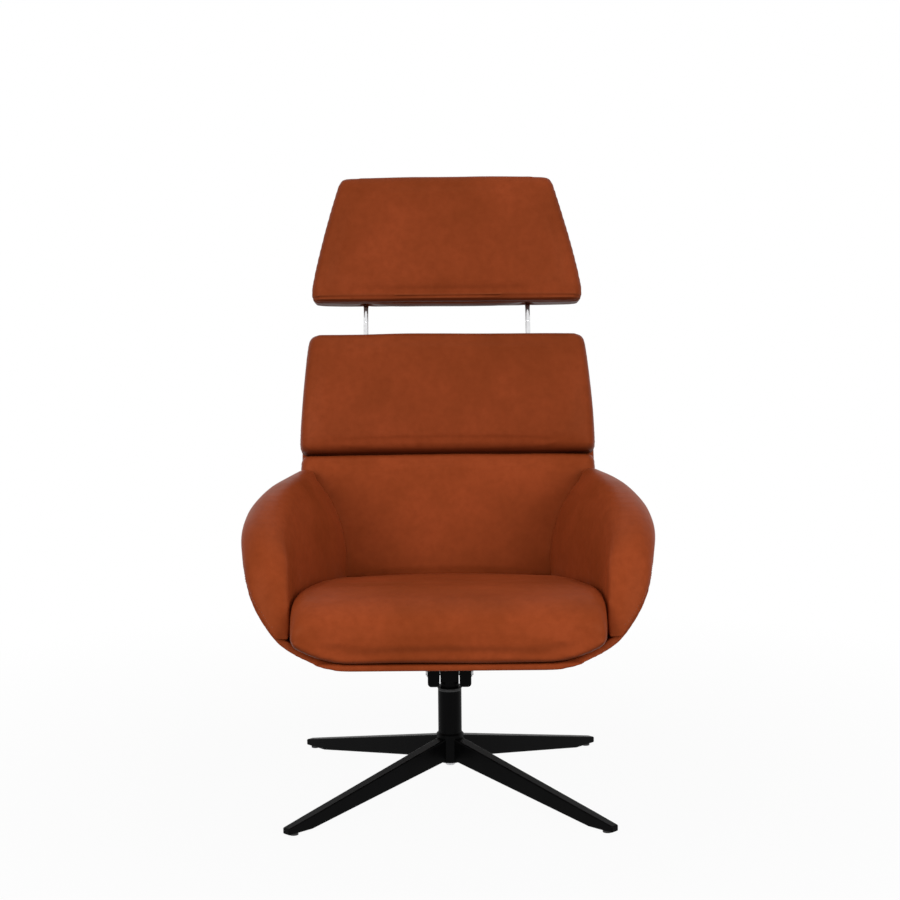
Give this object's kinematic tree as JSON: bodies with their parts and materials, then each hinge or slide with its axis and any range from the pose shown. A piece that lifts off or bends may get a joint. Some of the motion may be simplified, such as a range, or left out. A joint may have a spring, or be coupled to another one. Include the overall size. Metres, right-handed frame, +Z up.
{
  "type": "star base swivel recliner",
  "caption": "Swivel recliner with a four-legged star base, a tub seat with padded arms, a reclining two-pad back and a raised, tilting headrest on two rods.",
  "frame": {"origin": "floor level on the swivel axis", "axes": "+Z up, -Y the way the sitter looks, +X to the sitter's left"},
  "size_m": [0.7038, 0.7638, 1.1035],
  "materials": {
    "black_metal": "black satin powder coat",
    "steel": "bright zinc plated steel",
    "chrome": "polished chrome plate",
    "nylon": "black nylon",
    "rubber": "black rubber",
    "leather": "cognac pull-up leather, semi-matte",
    "plywood": "birch plywood"
  },
  "bodies": {
    "base": {"star_base": "black_metal", "leg_glides": "nylon", "column_tube": "black_metal", "column_bolt": "steel", "column_washer": "steel", "swivel_bush_lower": "nylon", "swivel_bush_upper": "nylon", "thrust_washer": "nylon"},
    "swivel": {"spindle": "steel", "spindle_clip": "steel", "swivel_head": "black_metal", "tilt_bumpers": "rubber", "tilt_axle": "steel", "axle_clips": "steel"},
    "seat": {"tilt_bracket": "black_metal", "bracket_bolts": "steel", "torsion_rubber_left": "rubber", "torsion_rubber_right": "rubber", "seat_panel": "plywood", "seat_shell": "leather", "seat_cushion": "leather", "arm_pad_left": "leather", "arm_pad_right": "leather", "seat_hinge_left": "black_metal", "seat_hinge_right": "black_metal", "friction_disc_left": "nylon", "friction_disc_right": "nylon", "recline_pin_left": "steel", "recline_pin_right": "steel"},
    "back": {"back_arm_left": "black_metal", "back_arm_right": "black_metal", "back_board": "plywood", "back_lower_pad": "leather", "back_upper_pad": "leather", "back_shell": "leather", "rod_sleeve_left": "nylon", "rod_sleeve_right": "nylon"},
    "headrest_carrier": {"headrest_rod_left": "chrome", "headrest_rod_right": "chrome", "headrest_axle": "steel"},
    "headrest": {"headrest_board": "plywood", "headrest_hinge_left": "steel", "headrest_hinge_right": "steel", "headrest_cushion": "leather"}
  },
  "joints": [
    {"name": "base_swivel", "type": "hinge", "parent": "base", "child": "swivel", "pos_m": [0, 0, 0], "axis": [0, 0, 1], "continuous": true},
    {"name": "seat_tilt", "type": "hinge", "parent": "swivel", "child": "seat", "pos_m": [0, 0, 0.213], "axis": [-1, 0, 0], "range_deg": [0, 12], "stiffness_Nm_per_rad": 460, "springref_deg": -12.95},
    {"name": "back_recline", "type": "hinge", "parent": "seat", "child": "back", "pos_m": [0, 0.207, 0.331], "axis": [-1, 0, 0], "range_deg": [0, 22]},
    {"name": "headrest_height", "type": "slide", "parent": "back", "child": "headrest_carrier", "axis": [0, 0.3123, 0.95], "range_m": [-0.042, 0.012]},
    {"name": "headrest_tilt", "type": "hinge", "parent": "headrest_carrier", "child": "headrest", "pos_m": [0, 0.3911, 0.87298], "axis": [1, 0, 0], "range_deg": [0, 20]}
  ]
}
